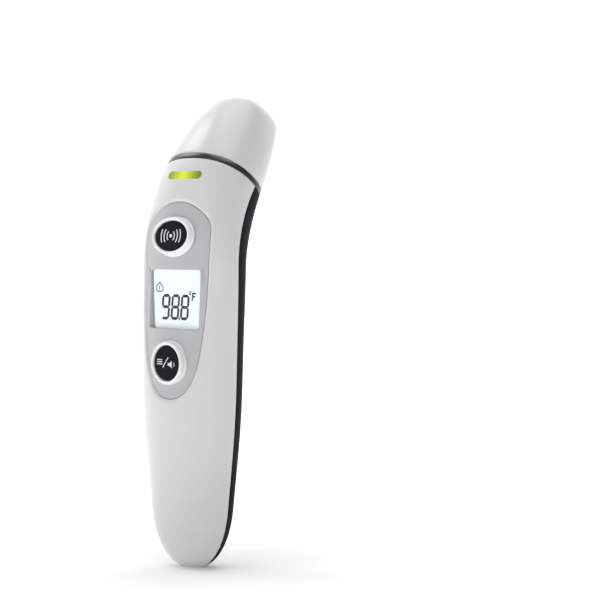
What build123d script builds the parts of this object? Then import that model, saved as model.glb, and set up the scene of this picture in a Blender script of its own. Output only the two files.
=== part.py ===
from build123d import *
import math
import os

# Digital infrared thermometer for forehead and ear, in millimetres.
# +Z up along the handle, the buttons face -Y, +X is to the right when facing the buttons.
# The origin is the centre of the small flat foot that the handle stands on.

# ---- Driving dimensions ----
NECK_START = 98.5        # height where the straight handle starts to lean back
NECK_RADIUS = 42.5       # radius of the neck's bend, on the centre line
HEAD_TILT = 39.0         # lean of the head, in degrees
TIP = 159.6              # length of the centre line, foot to tip
FOOT_ROUNDING = 22.0     # length of the rounded lower end
TIP_ROUNDING = 9.0       # length of the rounded tip
SECTION_POWER = 2.3      # roundness of the cross-section: 2 is an ellipse, more is squarer

# Half width, depth in front of and depth behind the centre line, at distances along it
STATIONS = (20, 48, 76, 100, 116, 129, 144, 156)
HALF_WIDTHS = (15.9, 19.0, 20.2, 20.6, 19.9, 18.8, 15.8, 11.6)
FRONT_DEPTHS = (9.8, 11.0, 10.6, 9.4, 10.9, 14.1, 14.9, 12.7)
BACK_DEPTHS = (9.3, 10.6, 11.2, 12.5, 13.0, 11.1, 8.0, 5.2)

WALL = 2.0               # wall of the two handle covers
CAP_WALL = 1.8           # wall of the forehead cap
SEAM = 0.05              # half of the gap between the two handle covers
RING_START = 127.5       # the dark ring's lower edge, along the centre line
RING_END = 129.5         # the dark ring's upper edge
CAP_START = 129.55       # mouth of the forehead cap

PANEL_DROP = 0.7         # panel's face below the cover's skin
PANEL_THICKNESS = 1.5
LEDGE_THICKNESS = 1.2    # ledge behind the panel's edge
LEDGE_WIDTH = 1.5
# Right side of the panel's outline, from its lowest point up: smooth arcs through (X, Z)
PANEL_SIDE = ((0, 55.6), (9.8, 61.5), (12.6, 69.5), (14.6, 86.0), (15.2, 103.0), (15.0, 112.5))
PANEL_TOP = 120.0

DISPLAY_Z = 88.0         # centre height of the display
DISPLAY_WIDTH = 24.2
DISPLAY_HEIGHT = 19.1
WINDOW_FRONT = -7.4      # Y of the display window's face
LCD_FRONT = -6.65        # Y of the LCD's face
LCD_WIDTH = 24.6
LCD_HEIGHT = 22.0

SCAN_Z = 108.4           # centre height of the upper, oval button
SCAN_TILT = 8.0          # upward lean of its axis, in degrees
SCAN_HALF = (7.45, 4.8)
MEMORY_Z = 67.4          # centre height of the lower, round button
MEMORY_HALF = (5.8, 5.6)
COLLAR_WALL = 1.25       # wall of the raised ring round each button
COLLAR_RISE = 1.8        # height of that ring above the panel
BUTTON_GAP = 0.2         # gap round each button

BOARD_FRONT = -1.6       # Y of the main board's front face
BOARD_BACK = -0.4
SWITCH_SIZE = 5.2
SWITCH_HEIGHT = 1.5

CELL_RADIUS = 5.2        # AAA cell
CELL_X = 5.35
CELL_Y = 0.8
CELL_LENGTH = 44.5
BAY_BOTTOM = 12.8        # lower contact's face
BAY_TOP = 61.9           # upper contact's face

DOOR_HALF_WIDTH = 12.4   # battery cover
DOOR_BOTTOM = 12.0
DOOR_TOP = 64.0
DOOR_GAP = 0.15

SCREW_PLACES = ((13.0, 69.0), (-13.0, 69.0), (12.0, 104.0), (-12.0, 104.0))
SCREW_SEAT = 4.0         # Y of the face that the screw heads rest on
SCREW_END = -4.2         # Y of the screws' points

PROBE_SHIFT = -2.0       # the probe's axis, ahead of the head's centre line
LENS_S = 122.8           # place of the indicator lens along the centre line
LENS_LEAN = 20.0         # upward lean of the lens's face, in degrees
LENS_WIDTH = 15.0
LENS_HEIGHT = 2.8

NECK_END = NECK_START + NECK_RADIUS * math.radians(HEAD_TILT)


# ---- The body's shape ----
def along(values, s):
    """Smooth value at distance s, a cubic through the stations with matched slopes."""
    count = len(STATIONS)
    slopes = []
    for i in range(count):
        low, high = max(i - 1, 0), min(i + 1, count - 1)
        slopes.append((values[high] - values[low]) / (STATIONS[high] - STATIONS[low]))
    if s <= STATIONS[0]:
        return values[0] + slopes[0] * (s - STATIONS[0])
    if s >= STATIONS[-1]:
        return values[-1] + slopes[-1] * (s - STATIONS[-1])
    i = max(k for k in range(count - 1) if STATIONS[k] <= s)
    step = STATIONS[i + 1] - STATIONS[i]
    t = (s - STATIONS[i]) / step
    return (
        (2 * t**3 - 3 * t**2 + 1) * values[i]
        + (t**3 - 2 * t**2 + t) * step * slopes[i]
        + (3 * t**2 - 2 * t**3) * values[i + 1]
        + (t**3 - t**2) * step * slopes[i + 1]
    )


def spine(s):
    """Y, Z and lean, in radians, of the centre line at distance s from the foot."""
    lean = math.radians(HEAD_TILT) * min(max((s - NECK_START) / (NECK_END - NECK_START), 0), 1)
    beyond = max(s - NECK_END, 0)
    y = NECK_RADIUS * (1 - math.cos(lean)) + beyond * math.sin(lean)
    z = min(s, NECK_START) + NECK_RADIUS * math.sin(lean) + beyond * math.cos(lean)
    return y, z, lean


def end_rounding(s):
    """Share of the full section that is left near the two rounded ends."""
    low = min(max(1 - (s + 0.5) / FOOT_ROUNDING, 0), 1)
    high = min(max(1 - (TIP + 0.5 - s) / TIP_ROUNDING, 0), 1)
    return min((1 - low**2.5) ** (1 / 2.3), (1 - high**2.4) ** (1 / 2.4))


def section_sizes(s, inset):
    """Half width, front depth and back depth at s, measured inset mm below the skin."""
    share = end_rounding(s)
    return [along(values, s) * share - inset for values in (HALF_WIDTHS, FRONT_DEPTHS, BACK_DEPTHS)]


def section_plane(s, shift=0.0):
    """Plane across the centre line at s: local X is to the right, local Y to the back."""
    y, z, lean = spine(s)
    origin = (0, y + shift * math.cos(lean), z - shift * math.sin(lean))
    return Plane(origin=origin, x_dir=(1, 0, 0), z_dir=(0, math.sin(lean), math.cos(lean)))


def section(s, inset=0.0, points=20):
    """Closed cross-section of the body at s."""
    half_width, front, back = section_sizes(s, inset)
    plane = section_plane(s)
    corners = []
    for i in range(points):
        angle = math.radians(50) + 2 * math.pi * i / points
        c, d = math.cos(angle), math.sin(angle)
        reach = (abs(c) ** SECTION_POWER + abs(d) ** SECTION_POWER) ** (-1 / SECTION_POWER)
        depth = front if d < 0 else back
        corners.append(plane.from_local_coords(Vector(half_width * c * reach, depth * d * reach, 0)))
    return Face(Wire([Edge.make_spline(corners, periodic=True)]))


def skin(inset, places):
    """Solid of the body's shape, inset mm below the skin, through the given places."""
    return loft([section(s, inset) for s in places])


def front_y(z, inset=0.0):
    """Y of the front skin at height z, on the middle line."""
    low, high = 0.0, TIP
    for _ in range(40):
        s = (low + high) / 2
        y, centre_z, lean = spine(s)
        front = section_sizes(s, inset)[1]
        if centre_z + front * math.sin(lean) < z:
            low = s
        else:
            high = s
    return y - front * math.cos(lean)


def head_block(start, end):
    """Big slab across the head between two distances along the centre line."""
    return section_plane(start) * Pos(0, 0, (end - start) / 2) * Box(90, 90, end - start)


def side_of_seam(front, shift):
    """Everything in front of (or behind) the seam surface moved forward by shift."""
    radius = NECK_RADIUS + shift
    lean = math.radians(HEAD_TILT)
    centre = Vector(NECK_RADIUS, NECK_START)
    bend_start = centre + Vector(-radius, 0)
    bend_middle = centre + Vector(-radius * math.cos(lean / 2), radius * math.sin(lean / 2))
    bend_end = centre + Vector(-radius * math.cos(lean), radius * math.sin(lean))
    far = bend_end + Vector(math.sin(lean), math.cos(lean)) * 60
    side = -70 if front else 110
    seam = [
        Edge.make_line(Vector(-shift, -5), bend_start),
        Edge.make_three_point_arc(bend_start, bend_middle, bend_end),
        Edge.make_line(bend_end, far),
        Edge.make_line(far, Vector(side, far.Y)),
        Edge.make_line(Vector(side, far.Y), Vector(side, -5)),
        Edge.make_line(Vector(side, -5), Vector(-shift, -5)),
    ]
    return extrude(Plane.YZ * Face(Wire(seam)), amount=45, both=True)


def grown(face, grow):
    """The same outline of tangent arcs, grown outward: each arc keeps its centre."""
    middle = face.center()
    edges = []
    for edge in face.edges():
        points = []
        for t in (0, 0.5, 1):
            direction = edge % t
            normal = Vector(direction.Y, -direction.X)
            if normal.dot(edge @ t - middle) < 0:
                normal = -normal
            points.append(edge @ t + normal * grow)
        edges.append(Edge.make_three_point_arc(*points))
    return Face(Wire.combine(edges)[0])


def panel_outline(grow=0.0):
    """Outline of the control panel, seen from the front: X to the right, Y up."""
    edges = []
    direction = Vector(1, 0)
    for start, end in zip(PANEL_SIDE, PANEL_SIDE[1:]):
        arc = Edge.make_tangent_arc(Vector(*start), direction, Vector(*end))
        direction = arc % 1
        edges += [arc, arc.mirror(Plane.YZ)]
    corner_x, corner_z = PANEL_SIDE[-1]
    edges.append(Edge.make_three_point_arc((-corner_x, corner_z), (0, PANEL_TOP), (corner_x, corner_z)))
    face = Face(Wire.combine(edges)[0])
    corners = [v for v in face.vertices() if abs(v.Y - corner_z) < 0.01]
    face = fillet(corners, 2.5)
    return grown(face, grow) if grow else face


def forward(face, start, end):
    """Prism of a front-view face, from depth Y = start forward to Y = end."""
    return Pos(0, start, 0) * extrude(Plane.XZ * face, amount=start - end, dir=(0, -1, 0))


def box(x, y, z):
    """Box between the low and high value of each axis."""
    size = (x[1] - x[0], y[1] - y[0], z[1] - z[0])
    return Pos((x[0] + x[1]) / 2, (y[0] + y[1]) / 2, (z[0] + z[1]) / 2) * Box(*size)


def rod(x, z, radius, start, end):
    """Cylinder along Y between two depths."""
    turned = Pos(x, (start + end) / 2, z) * Rot(90, 0, 0)
    return turned * Cylinder(radius, abs(end - start))


def upright(x, y, radius, start, end):
    """Cylinder along Z between two heights."""
    return Pos(x, y, (start + end) / 2) * Cylinder(radius, end - start)


def button_plane(z, tilt):
    """Plane on the panel's face at a button: local Z points out, local Y up."""
    lean = math.radians(tilt)
    origin = (0, front_y(z, PANEL_DROP), z)
    return Plane(origin=origin, x_dir=(1, 0, 0), z_dir=(0, -math.cos(lean), math.sin(lean)))


def oval(half, grow, start, end):
    """Oval (or round) slab between two local heights."""
    face = Ellipse(half[0] + grow, half[1] + grow) if half[0] != half[1] else Circle(half[0] + grow)
    return Pos(0, 0, start) * extrude(face, amount=end - start)


FOOT_PLACES = (0, 1, 3, 6, 10.5, 16)
HANDLE_PLACES = (24, 36, 50, 64, 78, 90, 100, 108, 116, 122)
HEAD_PLACES = (127.5, 134, 142, 149)
TIP_PLACES = (153.5, 156.5, 158.5, 159.6)

outer = skin(0, FOOT_PLACES + HANDLE_PLACES + HEAD_PLACES + TIP_PLACES)
inner = skin(WALL, (1.8, 3.5, 6, 10.5, 16) + HANDLE_PLACES + (127.5, 134))
panel_places = (46, 64, 78, 90, 100, 108, 116, 126)
panel_face_skin = skin(PANEL_DROP, panel_places)
panel_back_skin = skin(PANEL_DROP + PANEL_THICKNESS, panel_places)
ledge_back_skin = skin(PANEL_DROP + PANEL_THICKNESS + LEDGE_THICKNESS, panel_places)

front_half = side_of_seam(True, SEAM)
back_half = side_of_seam(False, -SEAM)
above_housing = head_block(RING_START, RING_START + 60)
panel_prism = forward(panel_outline(), -0.5, -40)
panel_pocket = forward(panel_outline(0.08), -0.5, -40)
panel_opening = forward(panel_outline(-LEDGE_WIDTH), -0.5, -40)

scan_plane = button_plane(SCAN_Z, SCAN_TILT)
memory_plane = button_plane(MEMORY_Z, 0)
parts = {}


# ---- Indicator lens, in the front cover above the panel ----
def lens_plane():
    """Plane on the skin at the lens: local Z points out, local Y up."""
    y, z, lean = spine(LENS_S)
    front = section_sizes(LENS_S, 0)[1]
    turn = math.radians(LENS_LEAN)
    origin = (0, y - front * math.cos(lean), z + front * math.sin(lean))
    return Plane(origin=origin, x_dir=(1, 0, 0), z_dir=(0, -math.cos(turn), math.sin(turn)))


def lens_slot(grow):
    return lens_plane() * Pos(0, 0, -6) * extrude(
        SlotOverall(LENS_WIDTH + 2 * grow, LENS_HEIGHT + 2 * grow), amount=12
    )


lens_back = skin(1.6, (112, 119, 126, 132))
parts["indicator_lens"] = (outer & lens_slot(0)) - lens_back


# ---- Front cover ----
def screw_bosses_front():
    bosses = Part()
    for x, z in SCREW_PLACES:
        bosses += rod(x, z, 3.3, BOARD_FRONT, -12)
        bosses += rod(x, z, 1.9, BOARD_BACK, BOARD_FRONT)
        bosses -= rod(x, z, 1.0, 0, SCREW_END - 0.1)
    return bosses


def make_front_cover():
    housing = (outer & front_half) - above_housing
    shell = housing - inner
    ledge = (housing & forward(panel_outline(LEDGE_WIDTH), -0.5, -40)) - ledge_back_skin
    bosses = screw_bosses_front() & panel_face_skin
    cover = shell + ledge + bosses
    cover -= panel_pocket - panel_back_skin
    cover -= panel_opening - ledge_back_skin
    return cover - lens_slot(0.05)


parts["front_cover"] = make_front_cover()


# ---- Control panel and its raised button rings ----
def display_block(grow, back, front=-20.0):
    half_x = DISPLAY_WIDTH / 2 + grow
    half_z = DISPLAY_HEIGHT / 2 + grow
    return box((-half_x, half_x), (front, back), (DISPLAY_Z - half_z, DISPLAY_Z + half_z))


def lcd_block(grow, back):
    half_x = LCD_WIDTH / 2 + grow
    half_z = LCD_HEIGHT / 2 + grow
    return box((-half_x, half_x), (LCD_FRONT, back), (DISPLAY_Z - half_z, DISPLAY_Z + half_z))


def make_panel():
    panel = (panel_prism & panel_face_skin) - panel_back_skin
    panel += display_block(1.3, LCD_FRONT) & panel_face_skin
    panel -= display_block(0, 0)
    panel -= display_block(0.7, 0, WINDOW_FRONT)
    panel -= lcd_block(0.1, 0)
    panel -= scan_plane * oval(SCAN_HALF, BUTTON_GAP + COLLAR_WALL + 0.05, -4, 4)
    panel -= memory_plane * oval(MEMORY_HALF, BUTTON_GAP + COLLAR_WALL + 0.05, -4, 4)
    return panel


def make_ring(half):
    ring = oval(half, BUTTON_GAP + COLLAR_WALL, -2.7, COLLAR_RISE) - oval(half, BUTTON_GAP, -5, 5)
    return fillet(ring.edges().group_by(Axis.Z)[-1], 0.45)


def make_button(half, stem_end):
    button = oval(half, 0, -2.75, COLLAR_RISE - 0.35)
    button = fillet(button.edges().group_by(Axis.Z)[-1], 0.4)
    button += oval(half, BUTTON_GAP + 0.8, -3.45, -2.75)
    button += Pos(0, 0, stem_end) * extrude(Circle(1.6), amount=-3.45 - stem_end)
    return button


def board_depth(plane):
    """Local depth of the main board's face on a button's axis."""
    return (plane.origin.Y - BOARD_FRONT) / -plane.z_dir.Y


parts["control_panel"] = make_panel()
for name, plane, half in (("scan", scan_plane, SCAN_HALF), ("memory", memory_plane, MEMORY_HALF)):
    depth = board_depth(plane)
    stem_end = depth + SWITCH_HEIGHT + 0.9
    plunger = Pos(0, 0, stem_end - 1.2) * extrude(Circle(1.1), amount=1.2)
    seat = plane.origin + plane.z_dir * depth
    half_size = SWITCH_SIZE / 2
    body = box(
        (-half_size, half_size),
        (BOARD_FRONT - SWITCH_HEIGHT, BOARD_FRONT),
        (seat.Z - half_size, seat.Z + half_size),
    )
    parts[name + "_button_ring"] = plane * make_ring(half)
    parts[name + "_button"] = plane * make_button(half, stem_end)
    parts[name + "_switch_plunger"] = plane * plunger
    parts[name + "_switch"] = body - plane * (Pos(0, 0, depth + 0.35) * extrude(Circle(1.25), amount=4))

# ---- Display ----
parts["display_window"] = display_block(0.65, LCD_FRONT - 0.05, WINDOW_FRONT)
GLASS_BACK = LCD_FRONT + 1.6
HOLDER_BACK = GLASS_BACK + 1.5
lcd_x = (-LCD_WIDTH / 2, LCD_WIDTH / 2)
lcd_z = (DISPLAY_Z - LCD_HEIGHT / 2, DISPLAY_Z + LCD_HEIGHT / 2)
parts["lcd_glass"] = lcd_block(0, GLASS_BACK)
parts["lcd_backlight"] = box(lcd_x, (GLASS_BACK, HOLDER_BACK), (lcd_z[0] + 2.4, lcd_z[1] - 2.4))
parts["lcd_connector_strips"] = Part() + [
    box((-11, 11), (GLASS_BACK, BOARD_FRONT), (z - 0.9, z + 0.9)) for z in (lcd_z[0] + 1.2, lcd_z[1] - 1.2)
]


# ---- Main board and what is on it ----
def make_board():
    edge = [(-15.2, 64.2), (15.2, 64.2), (15.2, 107.0), (9.5, 116.5), (-9.5, 116.5), (-15.2, 107.0)]
    board = forward(make_face(Polyline(*edge, close=True)), BOARD_BACK, BOARD_FRONT)
    for x, z in SCREW_PLACES:
        board -= rod(x, z, 2.0, 1, -3)
    return board


parts["main_board"] = make_board()
parts["controller_chip"] = box((-8.5, -1.5), (BOARD_BACK, 0.9), (74, 81))
parts["buzzer"] = rod(0, 93, 6.0, BOARD_BACK, 2.8) - rod(0, 93, 1.0, 2.0, 3.0)
parts["lead_connector"] = box((-4, 4), (BOARD_BACK, 2.6), (109.5, 113.5))
component_places = (
    (3, 75, 3.2, 1.6), (8.5, 76, 2.0, 1.2), (3, 80, 2.0, 1.2), (8, 81, 3.6, 2.6), (-11, 84, 2.0, 3.2)
)
parts["board_components"] = Part() + [
    box((x - w / 2, x + w / 2), (BOARD_BACK, BOARD_BACK + 1.1), (z - h / 2, z + h / 2))
    for x, z, w, h in component_places
]


# ---- Battery bay ----
def make_tray():
    front = box((-11.6, 11.6), (-5.5, -4.5), (BAY_BOTTOM - 1.6, BAY_TOP + 1.6))
    low = box((-11.6, 11.6), (-4.5, 3.0), (BAY_BOTTOM - 1.6, BAY_BOTTOM - 0.4))
    high = box((-11.6, 11.6), (-4.5, 5.0), (BAY_TOP + 0.4, BAY_TOP + 1.6))
    rib = box((-0.08, 0.08), (-4.5, -1.5), (BAY_BOTTOM + 6, BAY_TOP - 6))
    slots = Part() + [box((x - 1.2, x + 1.2), (-2.1, -1.5), (BAY_TOP, BAY_TOP + 3)) for x in (-9, 9)]
    return ((front + low + high + rib) - slots) & skin(WALL + 0.3, (6, 10.5, 16, 24, 36, 50, 64, 78))


def make_contacts():
    low = box((-9.6, 9.6), (-2.4, 3.0), (BAY_BOTTOM - 0.4, BAY_BOTTOM))
    tops = []
    for side in (-1, 1):
        centre = side * CELL_X
        plate = box((centre - 4.2, centre + 4.2), (-2.0, 4.8), (BAY_TOP, BAY_TOP + 0.4))
        tab = box((side * 9 - 1.0, side * 9 + 1.0), (-2.0, BOARD_FRONT), (BAY_TOP, BAY_TOP + 4.5))
        tops.append(plate + tab)
    return Part() + [low] + tops


def make_cell(x, button_up):
    """AAA cell with its button end up or down, against the flat contact."""
    low = BAY_TOP - CELL_LENGTH if button_up else BAY_BOTTOM
    can_low = low if button_up else low + 1.0
    can = upright(x, CELL_Y, CELL_RADIUS, can_low, can_low + CELL_LENGTH - 1.0)
    can = chamfer(can.edges(), 0.4)
    tip = low + CELL_LENGTH - 1.0 if button_up else low
    return can + upright(x, CELL_Y, 1.9, tip, tip + 1.0)


def make_springs():
    springs = []
    for x, low, high in (
        (-CELL_X, BAY_BOTTOM, BAY_TOP - CELL_LENGTH),
        (CELL_X, BAY_BOTTOM + CELL_LENGTH, BAY_TOP),
    ):
        springs.append(upright(x, CELL_Y, 3.4, low, high) - upright(x, CELL_Y, 2.7, low, high))
    return Part() + springs


parts["battery_tray"] = make_tray()
parts["battery_contacts"] = make_contacts()
parts["battery_left"] = make_cell(-CELL_X, True)
parts["battery_right"] = make_cell(CELL_X, False)
parts["battery_springs"] = make_springs()


# ---- Rear cover and battery cover ----
def door_outline(grow):
    width = 2 * (DOOR_HALF_WIDTH + grow)
    height = DOOR_TOP - DOOR_BOTTOM + 2 * grow
    return Pos(0, (DOOR_TOP + DOOR_BOTTOM) / 2) * RectangleRounded(width, height, 3)


def make_rear_cover():
    housing = (outer & back_half) - above_housing
    bosses = Part() + [rod(x, z, 3.0, 16, BOARD_BACK) for x, z in SCREW_PLACES]
    cover = (housing - inner) + (bosses & outer)
    for x, z in SCREW_PLACES:
        cover -= rod(x, z, 2.2, 20, SCREW_SEAT)
        cover -= rod(x, z, 1.15, 5, -1)
    cover -= forward(door_outline(0), 30, 1)
    return cover


DOOR_PIVOT = (section_sizes(DOOR_BOTTOM, 0)[2], DOOR_BOTTOM)  # Y and Z, on the skin


def make_battery_cover():
    cover = (outer & forward(door_outline(-DOOR_GAP), 30, 1)) - inner
    pivot_y, pivot_z = DOOR_PIVOT
    hook_x = (-1.2, 1.2)
    arm = box(hook_x, (pivot_y - 4.0, pivot_y - 1.4), (pivot_z + 0.3, pivot_z + 3.0))
    toe = box(hook_x, (pivot_y - 4.0, pivot_y - 2.9), (pivot_z - 2.2, pivot_z + 0.5))
    return cover + arm + toe


parts["rear_cover"] = make_rear_cover()
parts["battery_cover"] = make_battery_cover()


# ---- Case screws ----
def make_screw(x, z):
    head = rod(x, z, 1.9, SCREW_SEAT, SCREW_SEAT + 1.3)
    shank = rod(x, z, 1.0, SCREW_SEAT, SCREW_END)
    recess = box((x - 0.9, x + 0.9), (SCREW_SEAT + 0.7, SCREW_SEAT + 2), (z - 0.2, z + 0.2))
    cross = box((x - 0.2, x + 0.2), (SCREW_SEAT + 0.7, SCREW_SEAT + 2), (z - 0.9, z + 0.9))
    return head + shank - recess - cross


parts["case_screws"] = Part() + [make_screw(x, z) for x, z in SCREW_PLACES]

# ---- Head ring, cap and ear probe ----
PROBE_ZERO = RING_END
probe_plane = section_plane(PROBE_ZERO, PROBE_SHIFT)


def probe_turned(points):
    """Solid of revolution about the probe's axis from (radius, distance along the centre line)."""
    outline = make_face(Polyline(*[(r, 0, s - PROBE_ZERO) for r, s in points], close=True))
    return probe_plane * revolve(outline, Axis.Z)


def probe_tube(outside, inside, start, end):
    points = [(inside, start), (outside, start), (outside, end), (inside, end)]
    return probe_turned(points)


def make_head_ring():
    band = outer & head_block(RING_START, RING_END)
    spigot = skin(WALL + 0.12, (124, 128)) & head_block(RING_START - 1.6, RING_START)
    spigot -= skin(WALL + 1.1, (123, 128.5))
    rim = section(RING_END, CAP_WALL + 0.15)
    hollow = section(RING_END, CAP_WALL + 1.35)
    axis = section_plane(RING_END).z_dir
    collar = extrude(rim, amount=3.5, dir=axis) & skin(CAP_WALL + 0.15, (128, 131, 135))
    collar -= extrude(hollow, amount=3.5, dir=axis)
    ring = band + spigot + collar - probe_tube(7.6, 0, RING_START - 3, RING_END + 3)
    return ring - probe_tube(9.0, 0, RING_START - 3, RING_START)


def make_cap():
    shell = (outer & head_block(CAP_START, TIP + 5)) - skin(
        CAP_WALL, (126, 129.5, 133, 139, 145, 150, 152.5, 155, 156.6, 157.8)
    )
    return shell - probe_tube(4.7, 0, 145, TIP + 5)


def make_probe():
    outline = [
        (8.8, 126.0), (8.8, 127.0), (7.4, 127.0), (7.4, 130.0), (6.4, 136.5), (5.5, 142.5),
        (4.7, 148.0), (4.35, 151.5), (4.0, 152.0), (3.35, 152.0), (3.35, 151.2), (2.6, 151.2),
        (2.6, 150.2), (3.3, 150.2), (3.6, 147.5), (4.5, 142.0), (5.3, 137.0), (6.2, 129.5), (6.2, 126.0),
    ]
    return probe_turned(outline)


def make_sensor():
    sensor = probe_tube(2.3, 0, 146.4, 149.6) + probe_tube(2.7, 0, 145.9, 146.4)
    for angle in (45, 135, 225, 315):
        x, y = 1.3 * math.cos(math.radians(angle)), 1.3 * math.sin(math.radians(angle))
        sensor += probe_plane * Pos(x, y, 142.9 - PROBE_ZERO) * Cylinder(0.22, 6.0)
    return sensor


parts["head_ring"] = make_head_ring()
parts["forehead_cap"] = make_cap()
parts["probe_housing"] = make_probe()
parts["probe_gasket"] = probe_tube(8.8, 7.6, 127.0, RING_START)
parts["sensor_window"] = probe_tube(3.3, 0, 151.2, 151.8)
parts["thermopile_sensor"] = make_sensor()
parts["sensor_sleeve"] = probe_tube(3.2, 2.75, 142.6, 149.9)
parts["sensor_board"] = probe_tube(4.7, 0, 139.0, 139.8)


def make_sensor_lead():
    """Flat lead from the sensor board down to its connector on the main board."""
    start = probe_plane.from_local_coords(Vector(0, 0, 138.9 - PROBE_ZERO))
    inward = probe_plane.z_dir * -1
    slope = inward.Y / inward.Z
    corner_y = 1.6
    corner_z = start.Z + (corner_y - start.Y) / slope
    route = FilletPolyline((start.Y, start.Z), (corner_y, corner_z), (corner_y, 113.5), radius=6)
    return extrude(Plane.YZ * trace(route, 0.5), amount=2.5, both=True)


def make_led_board():
    board = Pos(0, -0.5, -3.6) * Box(12, 3.2, 0.8)
    return lens_plane() * board


parts["sensor_lead"] = make_sensor_lead()
parts["led_board"] = make_led_board()
parts["indicator_leds"] = Part() + [lens_plane() * Pos(x, -0.3, -2.8) * Box(2.0, 1.25, 0.8) for x in (-3.5, 3.5)]

os.makedirs("parts", exist_ok=True)
for name, part in parts.items():
    part.label = name
    export_step(part, "parts/" + name + ".step")
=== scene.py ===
import math

import bmesh
import bpy
import numpy as np
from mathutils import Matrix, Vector


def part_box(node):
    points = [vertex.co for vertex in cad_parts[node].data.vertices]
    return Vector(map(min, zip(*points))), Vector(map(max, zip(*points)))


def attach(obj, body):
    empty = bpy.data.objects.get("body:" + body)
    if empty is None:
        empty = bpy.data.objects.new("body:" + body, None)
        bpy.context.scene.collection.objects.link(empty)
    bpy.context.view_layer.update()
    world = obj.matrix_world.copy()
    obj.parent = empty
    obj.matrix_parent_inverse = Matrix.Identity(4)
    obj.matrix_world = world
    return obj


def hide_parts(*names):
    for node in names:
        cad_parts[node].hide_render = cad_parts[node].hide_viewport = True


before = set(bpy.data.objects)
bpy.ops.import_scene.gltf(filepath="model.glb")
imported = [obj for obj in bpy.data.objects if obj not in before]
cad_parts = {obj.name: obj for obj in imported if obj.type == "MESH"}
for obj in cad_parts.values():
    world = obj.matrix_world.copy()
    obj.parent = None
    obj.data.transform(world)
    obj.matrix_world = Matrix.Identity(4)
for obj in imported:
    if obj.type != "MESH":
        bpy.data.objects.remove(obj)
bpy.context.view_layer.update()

MM = 0.001

# ---- Shape of the handle and head, in millimetres, as in the CAD model ----
NECK_START = 98.5
NECK_RADIUS = 42.5
HEAD_TILT = 39.0
TIP = 159.6
FOOT_ROUNDING = 22.0
TIP_ROUNDING = 9.0
FOOT_CURVE = (2.5, 2.3)  # powers of the rounding at the foot
TIP_CURVE = (2.4, 2.4)   # and at the tip
SECTION_POWER = 2.3
STATIONS = (20, 48, 76, 100, 116, 129, 144, 156)
HALF_WIDTHS = (15.9, 19.0, 20.2, 20.6, 19.9, 18.8, 15.8, 11.6)
FRONT_DEPTHS = (9.8, 11.0, 10.6, 9.4, 10.9, 14.1, 14.9, 12.7)
BACK_DEPTHS = (9.3, 10.6, 11.2, 12.5, 13.0, 11.1, 8.0, 5.2)
NECK_END = NECK_START + NECK_RADIUS * math.radians(HEAD_TILT)

WALL = 2.0
CAP_WALL = 1.8
RING_START = 127.5
RING_END = 129.5
CAP_START = 129.55
PANEL_DROP = 0.7
PANEL_BACK = 2.2
LEDGE_BACK = 3.4
LEDGE_HALF = 1.4
POCKET_GAP = 0.04        # between the panel's pocket and its outline
SEAM_GAP = 0.02
PANEL_SIDE = ((0, 55.6), (9.8, 61.5), (12.6, 69.5), (14.6, 86.0), (15.2, 103.0), (15.0, 112.5))
PANEL_TOP = 120.0
PANEL_CORNER = 2.4        # how far the rounding of the top corners reaches along each side
DISPLAY_Z = 88.0
SCAN_Z = 108.4
SCAN_TILT = 8.0
SCAN_HALF = (7.45, 4.8)
MEMORY_Z = 67.4
MEMORY_HALF = (5.8, 5.6)
COLLAR_RISE = 1.8
FACE_DROP = 0.36          # button face below the collar's top
BUTTON_HOLE = 1.5         # growth of a button's oval to its hole in the panel
DISPLAY_SIZE = (24.2, 19.1)
FIGURES_X = -0.7
LCD_FRONT = -6.65
DOOR_HALF_WIDTH = 12.4
DOOR_BOTTOM = 12.0
DOOR_TOP = 64.0
DOOR_CORNER = 3.0
DOOR_GAP = 0.15
PROBE_SHIFT = -2.0
LENS_S = 122.8
LENS_HALF = (7.9, 1.4)
SCREW_PLACES = ((13.0, 69.0), (-13.0, 69.0), (12.0, 104.0), (-12.0, 104.0))
SCREW_SEAT = 4.0
WELL_RADIUS = 2.2
CELL_X = 5.35
CELL_Y = 0.8
CELL_LENGTH = 44.5


def along(values, s):
    """Smooth value at distance s along the centre line."""
    count = len(STATIONS)
    slopes = []
    for i in range(count):
        low, high = max(i - 1, 0), min(i + 1, count - 1)
        slopes.append((values[high] - values[low]) / (STATIONS[high] - STATIONS[low]))
    if s <= STATIONS[0]:
        return values[0] + slopes[0] * (s - STATIONS[0])
    if s >= STATIONS[-1]:
        return values[-1] + slopes[-1] * (s - STATIONS[-1])
    i = max(k for k in range(count - 1) if STATIONS[k] <= s)
    step = STATIONS[i + 1] - STATIONS[i]
    t = (s - STATIONS[i]) / step
    return (
        (2 * t**3 - 3 * t**2 + 1) * values[i]
        + (t**3 - 2 * t**2 + t) * step * slopes[i]
        + (3 * t**2 - 2 * t**3) * values[i + 1]
        + (t**3 - t**2) * step * slopes[i + 1]
    )


def spine(s):
    """Y, Z and lean of the centre line."""
    lean = math.radians(HEAD_TILT) * min(max((s - NECK_START) / (NECK_END - NECK_START), 0), 1)
    beyond = max(s - NECK_END, 0)
    y = NECK_RADIUS * (1 - math.cos(lean)) + beyond * math.sin(lean)
    z = min(s, NECK_START) + NECK_RADIUS * math.sin(lean) + beyond * math.cos(lean)
    return y, z, lean


def section_sizes(s, inset):
    """Half width, front depth and back depth at s, inset mm below the skin."""
    low = min(max(1 - (s + 0.5) / FOOT_ROUNDING, 0), 1)
    high = min(max(1 - (TIP + 0.5 - s) / TIP_ROUNDING, 0), 1)
    share = min(
        (1 - low ** FOOT_CURVE[0]) ** (1 / FOOT_CURVE[1]),
        (1 - high ** TIP_CURVE[0]) ** (1 / TIP_CURVE[1]),
    )
    return [along(values, s) * share - inset for values in (HALF_WIDTHS, FRONT_DEPTHS, BACK_DEPTHS)]


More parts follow.
